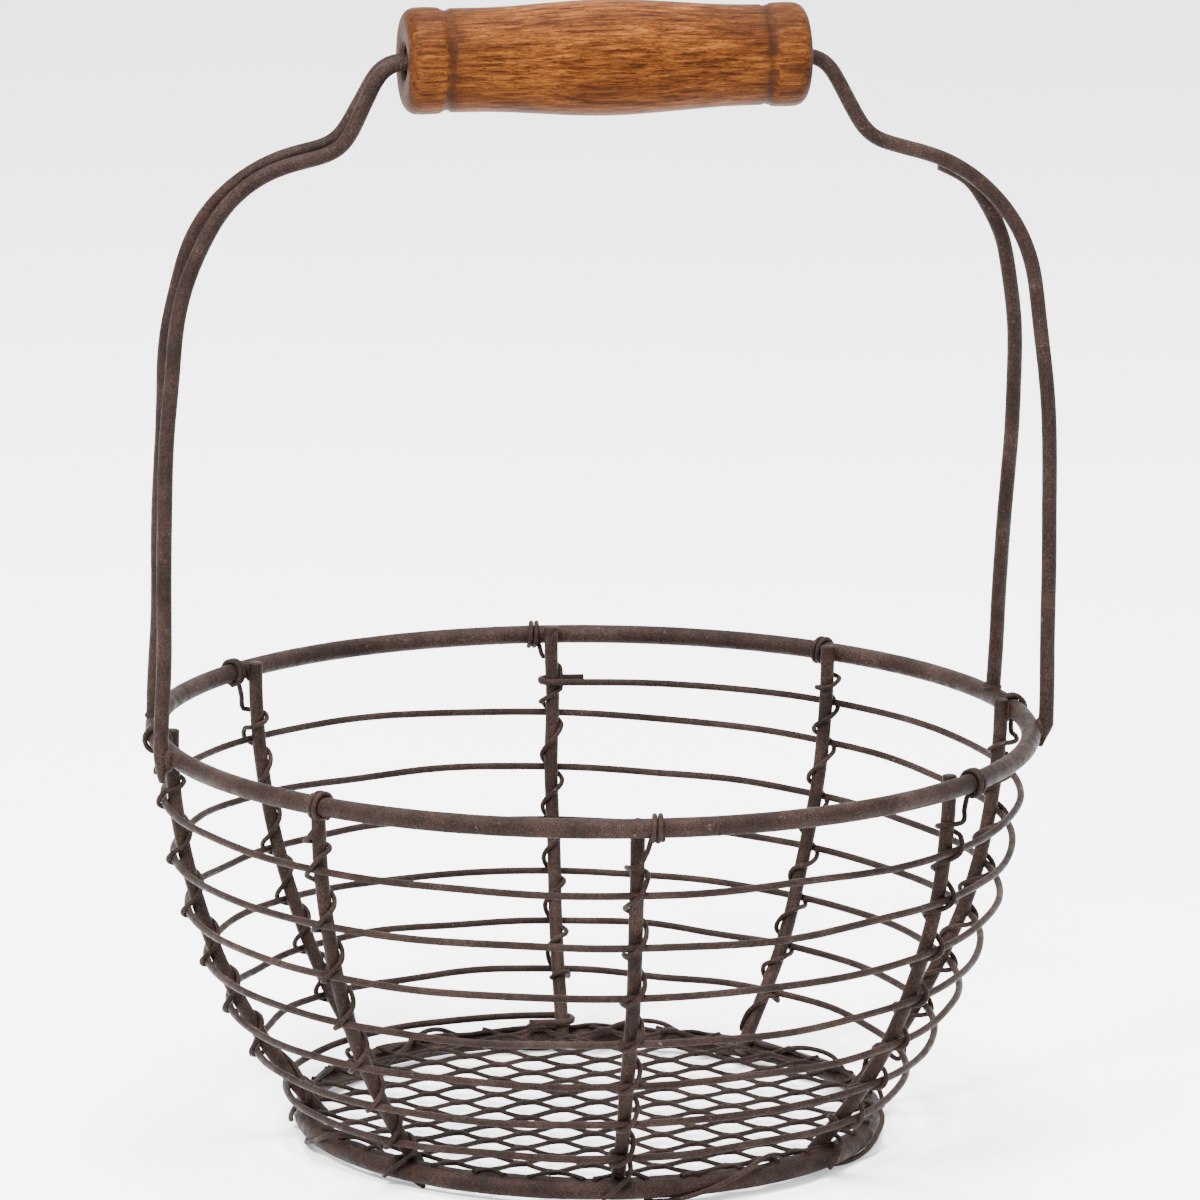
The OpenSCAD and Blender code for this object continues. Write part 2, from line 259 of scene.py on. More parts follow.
def coated_iron(name, dark, mid, light, worn, grain=1.0):
    """Rough brown powder coat over iron: cloudy colour, sandy grain, rubbed specks and a pitted skin."""
    m, t, b = shader(name, 0.6, specular=0.05)
    cloud = ramp(t, noise(t, 80, 5, 0.65), [(0.34, dark), (0.52, mid), (0.70, light)])
    sand = noise(t, 3400 * grain, 2, 0.6)
    speck = ramp(t, sand, [(0.38, (0.48, 0.46, 0.45)), (0.49, grey(0.95)), (0.62, (2.2, 2.15, 2.1))])
    colour = mix(t, 0.9, cloud, speck, "MULTIPLY")
    rust = ramp(t, noise(t, 190, 5, 0.7), [(0.54, BLACK), (0.78, grey(0.45))])
    colour = mix(t, rust, colour, (0.022, 0.0095, 0.0050))
    rubbed = ramp(t, noise(t, 520, 8, 0.8, distortion=0.5), [(0.61, BLACK), (0.72, grey(0.85))])
    colour = mix(t, rubbed, colour, worn)
    t.links.new(colour, b.inputs["Base Color"])
    r = ramp(t, noise(t, 260, 4, 0.6), [(0.35, grey(0.40)), (0.7, grey(0.66))])
    t.links.new(r, b.inputs["Roughness"])
    fine = bump(t, b, sand, 0.6, 0.00035)
    bump(t, b, noise(t, 420, 3, 0.6), 0.45, 0.0007, fine)
    return m


def turned_wood(name):
    """Stained and lacquered wood with fine streaks along X, with painted shade in the grooves and at the
    ends.
    """
    m, t, b = shader(name, 0.42, specular=0.025)
    c = t.nodes.new("ShaderNodeTexCoord")

    def stretched(factor):
        s = t.nodes.new("ShaderNodeMapping")
        s.inputs["Scale"].default_value = (factor, 1, 1)
        t.links.new(c.outputs["Object"], s.inputs["Vector"])
        return s.outputs["Vector"]

    streak = noise(t, 1300, 9, 0.8, stretched(0.075), 0.35)
    base = ramp(t, streak, [
        (0.37, (0.008, 0.0021, 0.0005)),
        (0.44, (0.035, 0.0098, 0.0018)),
        (0.53, (0.084, 0.0264, 0.0046)),
        (0.66, (0.178, 0.0640, 0.0112)),
    ])
    band = noise(t, 150, 4, 0.6, stretched(0.16), 0.3)
    wide = ramp(t, band, [(0.34, (0.52, 0.46, 0.42)), (0.62, grey(1.12))])
    base = mix(t, 0.9, base, wide, "MULTIPLY")
    cloud = ramp(t, noise(t, 60, 4, 0.6), [(0.32, (0.66, 0.60, 0.55)), (0.66, grey(1.2))])
    base = mix(t, 0.85, base, cloud, "MULTIPLY")
    pore = noise(t, 3200, 3, 0.65, stretched(0.22))
    pores = ramp(t, pore, [(0.54, BLACK), (0.66, grey(0.85))])
    base = mix(t, pores, base, (0.012, 0.0034, 0.0010))
    # Painted shade, darkest in the grooves, on the end faces and in the bore: painted on as a vertex
    # attribute and broken up in patches
    a = t.nodes.new("ShaderNodeAttribute")
    a.attribute_name = "painted_shade"
    patches = ramp(t, noise(t, 210, 5, 0.7), [(0.35, grey(0.55)), (0.6, WHITE)])
    patchy = mix(t, 0.6, WHITE, patches, "MULTIPLY")
    shade_amount = mix(t, 1.0, a.outputs["Color"], patchy, "MULTIPLY")
    base = mix(t, shade_amount, base, (0.0150, 0.0050, 0.0020))
    t.links.new(base, b.inputs["Base Color"])
    r = ramp(t, streak, [(0.3, grey(0.55)), (0.7, grey(0.36))])
    t.links.new(r, b.inputs["Roughness"])
    n = bump(t, b, streak, 0.4, 0.0005)
    n = bump(t, b, pore, 0.35, 0.0003, n)
    bump(t, b, noise(t, 90, 3, 0.5), 0.35, 0.0016, n)
    return m


IRON = coated_iron(
    "coated_iron",
    dark=(0.0056, 0.0028, 0.0022),
    mid=(0.0098, 0.0053, 0.0041),
    light=(0.0165, 0.0100, 0.0081),
    worn=(0.092, 0.067, 0.056),
)
THIN = coated_iron(
    "coated_thin_wire",
    dark=(0.0058, 0.0030, 0.0023),
    mid=(0.0100, 0.0056, 0.0044),
    light=(0.0172, 0.0106, 0.0086),
    worn=(0.092, 0.067, 0.056),
    grain=1.1,
)
MESH = coated_iron(
    "coated_expanded_metal",
    dark=(0.0046, 0.0024, 0.0019),
    mid=(0.0079, 0.0044, 0.0035),
    light=(0.0138, 0.0087, 0.0070),
    worn=(0.065, 0.048, 0.040),
    grain=1.1,
)
WOOD = turned_wood("turned_wood_stained")
SLOTS = {"frame_wire": IRON, "thin_wire": THIN, "expanded_metal": MESH, "turned_wood": WOOD}


# ---- pieces ----
def piece(name, verts, faces, slot, nodes, body="basket", sharp=40):
    """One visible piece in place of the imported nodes, from corners in mm."""
    me = bpy.data.meshes.new(name)
    me.from_pydata([tuple(v) for v in np.asarray(verts) * MM], [], faces)
    me.validate()
    skin = bmesh.new()
    skin.from_mesh(me)
    bmesh.ops.recalc_face_normals(skin, faces=skin.faces)
    skin.to_mesh(me)
    skin.free()
    me.polygons.foreach_set("use_smooth", [True] * len(me.polygons))
    me.set_sharp_from_angle(angle=math.radians(sharp))
    me.materials.append(SLOTS[slot])
    o = bpy.data.objects.new(name, me)
    bpy.context.scene.collection.objects.link(o)
    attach(o, body)
    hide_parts(*nodes)
    return o


def frames(p, first):
    """Directions along and square to a path, carried along it without twist."""
    t = np.gradient(p, axis=0)
    t /= np.linalg.norm(t, axis=1)[:, None]
    n = np.zeros_like(t)
    v = np.array(first, float)
    for i in range(len(p)):
        v = v - (v @ t[i]) * t[i]
        v /= np.linalg.norm(v)
        n[i] = v
    return t, n, np.cross(t, n)


def tube_mesh(p, d, sides, seed, first=(0, 0, 1), ends=(0.25, 0.25), shape=None, rough=0.012):
    """Round wire along points p, with a flat cut and a worn edge at each end.

    shape(u) gives its width, height and sideways shift at a part u of its length.
    """
    t, n, b = frames(p, first)
    rnd = np.random.RandomState(seed)
    count = len(p)
    r = d / 2 * (1 + rough * rnd.standard_normal((count, sides)))
    r = (r + np.roll(r, 1, 0) + np.roll(r, -1, 0) + np.roll(r, 1, 1)) / 4
    a = 2 * np.pi * np.arange(sides) / sides
    w, h = np.ones(count), np.ones(count)
    if shape is not None:
        w, h, shift = np.array([shape(i / (count - 1)) for i in range(count)]).T
        p = p + (d / 2 * shift)[:, None] * b
    ring = (p[:, None, :] + (r * np.cos(a) * w[:, None])[:, :, None] * n[:, None, :]
            + (r * np.sin(a) * h[:, None])[:, :, None] * b[:, None, :])
    rows = [ring[i] for i in range(count)]
    # A worn edge at each cut: one inner row, then a flat face
    for end, size in ((0, ends[0]), (-1, ends[1])):
        centre = p[end]
        step = t[end] * size * (-1 if end == 0 else 1) * 0.8
        inner = centre + (rows[end] - centre) * (1 - 2 * size / d) + step
        rows = [inner] + rows if end == 0 else rows + [inner]
    v = np.vstack(rows)
    k = len(rows)
    faces = []
    for i in range(k - 1):
        for j in range(sides):
            p, q = i * sides + j, i * sides + (j + 1) % sides
            faces.append((p, p + sides, q + sides, q))
    faces.append(tuple(range(sides)))
    faces.append(tuple((k - 1) * sides + j for j in range(sides - 1, -1, -1)))
    return v, faces


def joined(parts):
    """Several (corners, faces) as one."""
    v, f, at = [], [], 0
    for pv, pf in parts:
        v.append(np.asarray(pv))
        f += [tuple(i + at for i in face) for face in pf]
        at += len(pv)
    return np.vstack(v), f


def blob(centre, axes, size, seed, steps=10, lump=0.10):
    """A weld bead: a lumpy rounded mass. axes are three directions, size their half lengths."""
    lumps = [wobble(seed * 7 + k, 2.6) for k in range(3)]
    around = 2 * steps
    verts, faces = [], []
    for i in range(steps + 1):
        lat = math.pi * i / steps
        for j in range(around):
            lon = math.pi * j / steps
            u = np.array([math.sin(lat) * math.cos(lon), math.sin(lat) * math.sin(lon), math.cos(lat)])
            k = 1 + lump * (lumps[0](u[0] * 1.3) + lumps[1](u[1] * 1.3) + lumps[2](u[2] * 1.3)) / 1.6
            offsets = [u[m] * size[m] * k * np.array(axes[m], float) for m in range(3)]
            verts.append(np.array(centre) + sum(offsets))
    for i in range(steps):
        for j in range(around):
            a, d = i * around + j, i * around + (j + 1) % around
            b, c = a + around, d + around
            faces.append((a, b, c) if i == 0 else (a, b, d) if i == steps - 1 else (a, b, c, d))
    # One vertex at each pole
    last = steps * around
    remap = {j: 0 for j in range(around)}
    remap.update({last + j: last for j in range(around)})
    faces = [tuple(remap.get(i, i) for i in f) for f in faces]
    used = sorted({i for f in faces for i in f})
    new = {i: k for k, i in enumerate(used)}
    return [verts[i] for i in used], [tuple(new[i] for i in f) for f in faces]


# ---- rings: one wire each, butted at a seam ----
def ring(r, z, seam, seed):
    bend, rise = wobble(seed, 150), wobble(seed + 1, 170)
    pts = []
    for c in np.linspace(seam + 0.1, seam + 359.9, 361):
        s = math.sin(math.radians((c - seam) / 2)) ** 0.5
        pts.append(polar(c, r + 0.22 * s * bend(c), z + 0.22 * s * rise(c)))
    return tube_mesh(np.array(pts), RING_D, 24, seed, ends=(0.22, 0.22), rough=0.01)


rim = [ring(RIM_R, RIM_Z, RIM_JOINT, 3)]
base = [ring(BASE_R, BASE_Z, BASE_JOINT, 9)]


# ---- ribs ----
# How much a rib bends to its sides, and in and out
RIB_SWAY, RIB_BOW = 0.25, 0.15


def rib_r(z):
    """Distance of a rib's middle line from the basket's middle at a height."""
    return RIB_TOP_R - ARC_R + math.sqrt(ARC_R**2 - (RIM_Z - z) ** 2)


def rib_lean(z):
    """Angle between a rib and the vertical at a height."""
    return math.asin((RIM_Z - z) / ARC_R)


for i, clock in enumerate(RIBS):
    out, side = outward(clock), along(clock)
    sway, bow = wobble(20 + i, 55), wobble(40 + i, 70)
    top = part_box(f"rib_{i + 1}")[1][2] / MM
    low, high = math.asin(DROP / ARC_R), math.asin((top - RIM_Z) / ARC_R)
    pts = []
    for a in np.linspace(-low, high, 70):
        z = RIM_Z + ARC_R * math.sin(a)
        r = RIB_TOP_R - ARC_R + ARC_R * math.cos(a)
        hold = smooth((RIM_Z - z) / 12) * smooth((z - RIB_FOOT_Z) / 12)
        sideways, outwards = RIB_SWAY * hold * sway(z) * side, RIB_BOW * hold * bow(z) * out
        pts.append(polar(clock, r, z) + sideways + outwards)
    wire = tube_mesh(np.array(pts), RIB_D, 20, 50 + i, first=out, ends=(0.3, 0.3))
    piece(f"rib_wire_{i + 1}", *wire, "frame_wire", [f"rib_{i + 1}"])
    # Welds of the rib to the rim's inside and to the base ring's inside
    at = polar(clock, RIM_R - RING_D / 2 - 0.1, RIM_Z - 0.3)
    rim.append(blob(at, (out, side, UP), (1.0, 1.7, 2.2), 60 + i))
    at = polar(clock, BASE_R - RING_D / 2 - 0.3, BASE_Z + 0.9)
    base.append(blob(at, (out, side, UP), (1.1, 1.7, 1.5), 80 + i))
# A bead at each ring's butt joint, ground nearly flush
for parts, r, z, seam in ((rim, RIM_R, RIM_Z, RIM_JOINT), (base, BASE_R, BASE_Z, BASE_JOINT)):
    axes = (along(seam), outward(seam), UP)
    parts.append(blob(polar(seam, r, z), axes, (0.75, 2.26, 2.26), int(r), lump=0.05))
piece("rim_wire", *joined(rim), "frame_wire", ["rim_ring"])
piece("base_wire", *joined(base), "frame_wire", ["base_ring"])


# ---- the weave ----
def rib_clock(n):
    return RIBS[n % BAYS] + 360 * (n // BAYS)


def bay_clock(b):
    """Clock angle after b bays, counted from the first rib."""
    n = math.floor(b)
    return rib_clock(n) + (b - n) * (rib_clock(n + 1) - rib_clock(n))


def weave_level(t):
    """Height of the weave above the base ring after t turns, before its sag."""
    if t < 1:
        return WEAVE_TOP - FIRST_DROP * t * t
    return WEAVE_TOP - FIRST_DROP - PITCH * (t - 1) + EASING * (t - 1) ** 2


def weave_clock(t):
    return bay_clock(HOOK - BAYS * t)


def weave_z(t):
    sag = SAG / WEAVE_TOP * math.cos(math.radians(weave_clock(t) - LOW_AT))
    return BASE_Z + weave_level(t) * (1 - sag)


def hook_point(z, out, ahead):
    """Point out from the hook's rib and ahead of it, in steps of the weave's distance from a rib."""
    clock = RIBS[HOOK]
    away = out / math.cos(rib_lean(z)) * outward(clock) - ahead * along(clock)
    return polar(clock, rib_r(z), z) + WEAVE_OFF * away


w_up, w_out = wobble(101, 0.19), wobble(102, 0.23)
top, foot = weave_z(0), weave_z(TURNS)
tail = HOOK_TAIL / WEAVE_OFF
bay_steps = 8
pts = [hook_point(top, 1, tail), hook_point(top, 1, tail / 2)]
pts += [hook_point(top, math.cos(a), -math.sin(a)) for a in np.radians([0, 30, 60, 90, 120, 150])]
for k in range(TURNS * BAYS * bay_steps + 1):
    t = k / (BAYS * bay_steps)
    z = weave_z(t)
    # The wire is free to bend between the ribs, but not next to its hooks
    free = math.sin(math.pi * (t * BAYS % 1)) ** 2 * smooth(t * BAYS) * smooth((TURNS - t) * BAYS)
    inside = 1 - smooth(t / HOOK_EASE)
    z += 0.55 * free * w_up(t)
    r = rib_r(z) + WEAVE_OFF * (1 - 2 * inside) / math.cos(rib_lean(z)) + free * (0.35 * w_out(t) - 0.25)
    pts.append(polar(weave_clock(t), r, z))
pts += [hook_point(foot, math.cos(a), math.sin(a)) for a in np.radians([30, 60, 90, 120, 150, 180])]
pts += [hook_point(foot, -1, -tail / 2), hook_point(foot, -1, -tail)]
wire = tube_mesh(flow(pts, 1.6), WEAVE_D, 12, 110, ends=(0.12, 0.12), rough=0.014)
piece("weave_spiral", *wire, "thin_wire", ["weave_wire"])


# ---- binding wires: two turns round the rim, down the rib round each crossing, over the base ring ----
def beside(i, z, side, out):
    """Point to the side of rib i and out from it, square to the rib."""
    clock, lean = RIBS[i], rib_lean(z)
    square = math.cos(lean) * outward(clock) - np.array([0, 0, math.sin(lean)])
    return polar(clock, rib_r(z), z) + side * along(clock) + out * square


coil_steps = 16
# The wire's end over the base ring: along the ring, out from it and above it
over_base = [(2.5, -0.3, 5.0), (1.9, 1.9, 3.7), (0.4, 2.7, 2.2), (-2.0, 3.0, 0.2), (-4.0, 2.75, -1.3)]
for i, clock in enumerate(RIBS):
    out, side = outward(clock), along(clock)
    loose, tilt = wobble(130 + i, 500), wobble(150 + i, 420)
    rim_at = polar(clock, RIM_R, RIM_Z)
    pts = []
    for s in range(COIL_TURNS * coil_steps + 1):
        turns_left = COIL_TURNS - s / coil_steps
        a = math.radians(360 * turns_left - 100)
        around = COIL_R * (math.cos(a) * out + math.sin(a) * UP)
        pts.append(rim_at + around + (BIND_OFF + 0.3 + COIL_PITCH * turns_left) * side)
    hooked = i == HOOK
    crossings = []
    for k in range(1 if hooked else 0, TURNS):
        z = weave_z(((HOOK - i) / BAYS) % 1 + k)
        if z > BASE_Z + LOWEST_BOUND:
            crossings.append(z + WEAVE_OFF * math.sin(rib_lean(z)))
    # Angles round the rib, with the heights that the wire has there
    first_pass = RIM_Z - 5.6 if hooked else min(RIM_Z - 5.6, crossings[0] + 7)
    known = [(36, RIM_Z - 4.9), (90, first_pass)]
    if hooked:
        known += [(162, weave_z(0) + 2.5), (198, weave_z(0) - 2.5)]
    known += [(396, crossings[0] + 2.9)] + [(450 + 360 * k, z) for k, z in enumerate(crossings)]
    last = known[-1][0]
    for a in np.arange(36, last + 1, 18):
        z = np.interp(a, [q[0] for q in known], [q[1] for q in known])
        s, c = math.sin(math.radians(a)), math.cos(math.radians(a))
        slackness = 0.28 * (0.6 + 0.5 * loose(a)) * (1 - abs(s)) ** 0.5
        reach = (BIND_OFF if s < 0 else BIND_FAR) * s
        if a < 90:
            reach = max(reach, UNDER_RIM)
        pts.append(beside(i, z + 0.5 * tilt(a) * (1 - max(0, s)), (BIND_OFF + slackness) * c, reach))
    # A last turn below the lowest crossing
    z = crossings[-1]
    low = z - 3 if hooked else BASE_Z + 6.4
    pts += [beside(i, z - 0.5, -1, BIND_FAR), beside(i, z - 1.6, -2.5, 2.7)]
    for a in (102, 138, 174, 210, 246):
        s, c = math.sin(math.radians(last + a)), math.cos(math.radians(last + a))
        down = (low - z + 1.7) * (a - 102) / 144
        reach = (BIND_OFF if s < 0 else BIND_FAR) * s
        pts.append(beside(i, z - 1.7 + down, BIND_OFF * c, reach))
    if not hooked:
        at = polar(clock, BASE_R, BASE_Z)
        pts += [at + a * side + b * out + c * UP for a, b, c in over_base]
    wire = tube_mesh(flow(pts, 0.75), BIND_D, 10, 170 + i, ends=(0.1, 0.1), rough=0.014)
    piece(f"binding_wound_{i + 1}", *wire, "thin_wire", [f"binding_{i + 1}"])


# ---- the floor: expanded metal, its cut edge crushed onto the base ring ----
# Length and width of a diamond, width of a strand, and length of the bond between diamonds
LONG, WIDE, STRAND, BOND = 15.6, 12.9, 1.0, 2.5
# The pattern's turn about the vertical, and its distance from the middle before the turn
TURN = math.radians(-12.5)
SHIFT = np.array([1.9, 4.3])
EDGE_R = BASE_R + 0.3
# The shortest stretch of a strand that is left at the edge
SHORTEST = 1.2
# Outlines of a strand and of the crushed edge, in parts of their width and thickness
BAR_OUTLINE = [(-0.5, -0.32), (-0.32, -0.5), (0.32, -0.5), (0.5, -0.32),
               (0.5, 0.32), (0.32, 0.5), (-0.32, 0.5), (-0.5, 0.32)]
EDGE_OUTLINE = [(-0.5, -0.2), (-0.38, -0.5), (0.38, -0.5), (0.5, -0.2),
                (0.5, 0.2), (0.38, 0.5), (0, 0.58), (-0.38, 0.5), (-0.5, 0.2)]


def on_sheet(p):
    """Height of the sheet's middle at a point: flat inside, and up on the base ring at the edge."""
    r = math.hypot(p[0], p[1])
    dents = 0.35 * math.sin(p[0] / 13 + 1) * math.sin(p[1] / 17 + 2)
    flat = FLOOR_Z + 0.1 + dents * (1 - smooth((r - 45) / 14))
    lift = RING_D / 2 + 0.40
    over = BASE_Z + math.sqrt(max(0.3, lift**2 - max(0, r - BASE_R) ** 2))
    k = smooth((r - (BASE_R - 6)) / 4)
    return flat * (1 - k) + over * k


def bar(a, b, width, thick, twist_a, twist_b, n, bow=0.0):
    """A flat strand from a to b in the sheet, turned about its own length."""
    m = len(BAR_OUTLINE)
    a, b = np.array(a, float), np.array(b, float)
    d = (b - a) / np.linalg.norm(b - a)
    across = np.array([-d[1], d[0], 0])
    verts, faces = [], []
    for k in range(n + 1):
        u = k / n
        q = a + (b - a) * u
        z = on_sheet(q) + bow * math.sin(math.pi * u)
        w = math.radians(twist_a + (twist_b - twist_a) * smooth(u))
        x = math.cos(w) * across + math.sin(w) * UP
        y = -math.sin(w) * across + math.cos(w) * UP
        c = np.array([q[0], q[1], z])
        wide = width * (1 + 0.35 * (abs(2 * u - 1)) ** 4)
        for sx, sy in BAR_OUTLINE:
            verts.append(c + sx * wide * x + sy * thick * y)
    for k in range(n):
        for j in range(m):
            p, q = k * m + j, k * m + (j + 1) % m
            faces.append((p, q, q + m, p + m))
    faces.append(tuple(range(m - 1, -1, -1)))
    faces.append(tuple(n * m + j for j in range(m)))
    return verts, faces


def turned(p):
    """A point of the diamonds' pattern, in the basket's frame."""
    c, s = math.cos(TURN), math.sin(TURN)
    p = np.array(p) + SHIFT
    return np.array([c * p[0] - s * p[1], s * p[0] + c * p[1]])


def inside_part(a, b):
    """The stretch of a-b inside the sheet's edge, or None."""
    ra, rb = np.linalg.norm(a), np.linalg.norm(b)
    if ra > EDGE_R and rb > EDGE_R:
        return None
    if ra <= EDGE_R and rb <= EDGE_R:
        return a, b
    flip = ra > EDGE_R
    if flip:
        a, b = b, a
    lo, hi = 0.0, 1.0
    for _ in range(20):
        m = (lo + hi) / 2
        lo, hi = (m, hi) if np.linalg.norm(a + (b - a) * m) < EDGE_R else (lo, m)
    b = a + (b - a) * lo
    if np.linalg.norm(b - a) < SHORTEST:
        return None
    return (b, a) if flip else (a, b)


sheet = []
rnd = random.Random(5)
for i in range(-6, 7):
    for j in range(-7, 8):
        for h in (0, 1):
            # A bond at each joint of the strands, and the two strands that leave its far end
            at = np.array([(i + h / 2) * LONG, (j + (1 - h) / 2) * WIDE])
            at += np.array([rnd.uniform(-0.12, 0.12), rnd.uniform(-0.12, 0.12)])
            half = [BOND / 2 + 0.2, 0]
            cut = inside_part(turned(at - half), turned(at + half))
            if cut is not None:
                sheet.append(bar(*cut, 1.9, 1.15, 8, -8, 3))
            for sy in (-1, 1):
                far = np.array([(i + (h + 1) / 2) * LONG, (j + (1 - h) / 2 + sy / 2) * WIDE])
                half = [BOND / 2 - 0.25, 0.22 * sy]
                cut = inside_part(turned(at + half), turned(far - half))
                if cut is not None:
                    width, bow = STRAND * rnd.uniform(0.9, 1.1), rnd.uniform(-0.15, 0.15)
                    sheet.append(bar(*cut, width, 1.0, 26 * sy, 34 * sy, 6, bow))


def ripple(seed, orders):
    """A random function of the clock angle that closes on itself."""
    rnd = random.Random(seed)
    parts = [(m, rnd.uniform(0, 6.28), rnd.uniform(0.3, 0.5)) for m in orders]
    return lambda c: sum(w * math.sin(math.radians(m * c) + p) for m, p, w in parts)


def crimped_edge(n=420):
    """The sheet's edge on the ring's top: nearly flush at the front, raised and curled at the back."""
    lift, lean = ripple(230, (5, 11, 19, 31)), ripple(231, (4, 9, 17, 29))
    wide, off = ripple(232, (7, 13, 23, 37)), ripple(233, (6, 10, 21, 33))
    m = len(EDGE_OUTLINE)
    verts, faces = [], []
    for k in range(n):
        c = 360 * k / n
        back = smooth((1 - math.cos(math.radians(c - 10))) * 0.85 - 0.35)
        r = BASE_R - 0.5 + 0.45 * off(c) * (0.5 + 0.5 * back)
        z = BASE_Z + RING_D / 2 - 0.22 + 0.42 * back + 0.22 * lift(c) * (0.6 + 0.6 * back)
        tilt = math.radians(-14 + 20 * lean(c) * back)
        x = math.cos(tilt) * outward(c) + math.sin(tilt) * UP
        y = np.cross(x, along(c)) * -1
        w, h = 2.3 + 0.5 * wide(c) + 0.4 * back, 0.8
        for sx, sy in EDGE_OUTLINE:
            verts.append(polar(c, r, z) + sx * w * x + sy * h * y)
    for k in range(n):
        for j in range(m):
            p, q, following = k * m, (k + 1) % n * m, (j + 1) % m
            faces.append((p + j, p + following, q + following, q + j))
    return verts, faces


sheet.append(crimped_edge())
piece("floor_expanded", *joined(sheet), "expanded_metal", ["floor_mesh"], sharp=50)

# ---- the lacing: once round the base ring in each bay but the last ----
pts = []
w_lace = wobble(210, 1.7)
lace_steps = 20
for s in range(2, (BAYS - 1) * lace_steps + 3):
    bay = s / lace_steps
    a = 2 * math.pi * (bay - LACE_PHASE)
    r = COIL_R + 0.06 + (STRAND + 0.2) * smooth((-math.cos(a) - 0.2) / 0.6)
    clock = bay_clock(bay) + 0.6 * w_lace(bay)
    pts.append(polar(clock, BASE_R + r * math.sin(a), BASE_Z - r * math.cos(a)))
wire = tube_mesh(flow(pts, 1.1), BIND_D, 10, 220, ends=(0.1, 0.1), rough=0.014)
piece("floor_laced", *wire, "thin_wire", ["floor_lacing"])

# ---- the handle ----
# Bends of its wires from the middle of the grip outwards: distance from the middle, height over
# the grip's axis, and bend radius
BAIL_LEFT = [(49, 0, 4), (58.4, -20, 6), (82.6, -25.3, 29), (96.4, -53, 60), (99.2, -83, 200)]
BAIL_RIGHT = [(51.7, 0, 4), (62.2, -19.2, 5), (98.6, -29, 35), (104.2, -85, 250)]
DOUBLER_LEFT = [(49, 0, 4), (58.5, -18.4, 6), (88.5, -24.2, 33), (97.6, -63, 60), (97.8, -100, 300)]
BRACE_RIGHT = [(87.3, -29.3, 5), (95, -42, 25), (99.9, -65, 60), (99.4, -98, 250)]
# The doubler starts inside the grip's right end, and the brace under the right shoulder
DOUBLER_START, BRACE_START = (-40, 0), (80, -25.9)
# The front feet are welded to the outside of the rim, and the back feet stand on top of it
FRONT_R = RIM_R + (RING_D + HANDLE_D) / 2 - BITE
BACK_R = RIM_R + 0.3
LEFT_FOOT_Z, RIGHT_FOOT_Z = RIM_Z - 5, RIM_Z - 3.8
BACK_FOOT_Z = RIM_Z + RING_D / 2 - 0.5


def side_line(start, bends, r, z):
    """Line of a wire, seen along Y, from its start through its bends to its foot."""
    corners = [(start[0], start[1] + GRIP_Z, 0)] + [(x, GRIP_Z + y, k) for x, y, k in bends]
    return rounded(corners + [(r * math.cos(FOOT_ANGLE), z, 0)])


def spread(z, r):
    """Distance of a wire from the handle's plane at a height, for a foot at radius r."""
    k = max(0, min(1, (SHOULDER_Z - z) / (SHOULDER_Z - RIM_Z)))
    return PAIR_Y + (r * math.sin(FOOT_ANGLE) - PAIR_Y) * k


def leg(line, sx, sy, r):
    """A side's line in space: sx is its side, and sy says whether it goes to the back or the front."""
    return [np.array([sx * p[0], sy * spread(p[1], r), p[1]]) for p in line]


def handle_wire(points, seed, **kind):
    """Handle wire along points, with slight bends away from its ends and from the grip."""
    bend_a, bend_b = wobble(seed, 60), wobble(seed + 1, 75)
    path = eased(points, 1.2, 2.4)
    s = np.concatenate([[0], np.cumsum(np.linalg.norm(np.diff(path, axis=0), axis=1))])
    for k in range(len(path)):
        hold = smooth(s[k] / 25) * smooth((s[-1] - s[k]) / 25) * smooth((GRIP_Z - 6 - path[k][2]) / 10)
        path[k] += 0.22 * hold * np.array([bend_a(s[k]), 0.35 * bend_b(s[k]), 0.4 * bend_b(s[k] + 9)])
    return tube_mesh(path, HANDLE_D, 20, seed, first=(0, 1, 0), rough=0.011, **kind)


def nipped(u):
    """The bail's feet: the right one is cut at a slant, flush with the rim, the left one is pinched."""
    right_part, left_part = 0.0095, 0.0115
    if u < 0.5:
        h = 0.25 + 0.75 * min(1, u / right_part)
        return 1.0, h, 1 - h
    h = 0.40 + 0.60 * min(1, (1 - u) / left_part) ** 0.8
    return 1.0, h, 0.2 * (1 - h)


right = leg(side_line((0, 0), BAIL_RIGHT, FRONT_R, RIGHT_FOOT_Z), 1, -1, FRONT_R)
left = leg(side_line((0, 0), BAIL_LEFT, FRONT_R, LEFT_FOOT_Z), -1, -1, FRONT_R)
bail = [handle_wire(right[::-1] + left[1:], 301, shape=nipped)]
doubler_line = side_line(DOUBLER_START, DOUBLER_LEFT, BACK_R, BACK_FOOT_Z)
doubler = [handle_wire(leg(doubler_line, -1, 1, BACK_R), 311)]
brace_line = side_line(BRACE_START, BRACE_RIGHT, BACK_R, BACK_FOOT_Z)
brace = [handle_wire(leg(brace_line, 1, 1, BACK_R), 321)]
# Welds: the front feet to the rim's outside, the back feet on its top, the brace under the shoulder
for sx, back_wire in ((-1, doubler), (1, brace)):
    c, s = math.cos(FOOT_ANGLE), math.sin(FOOT_ANGLE)
    rim_dir, tangent = np.array([sx * c, -s, 0]), np.array([s * sx, c, 0])
    at = rim_dir * (RIM_R + 2.3) + [0, 0, RIM_Z - 0.2]
    bail.append(blob(at, (rim_dir, tangent, UP), (1.5, 2.3, 2.6), 330 + sx))
    rim_dir, tangent = np.array([sx * c, s, 0]), np.array([-s * sx, c, 0])
    at = rim_dir * (RIM_R + 0.1) + [0, 0, RIM_Z + 2.0]
    back_wire.append(blob(at, (rim_dir, tangent, UP), (2.2, 2.9, 1.25), 340 + sx))
shoulder_axes = ((0.94, 0, -0.3), (0, 1, 0), (0.3, 0, 0.94))
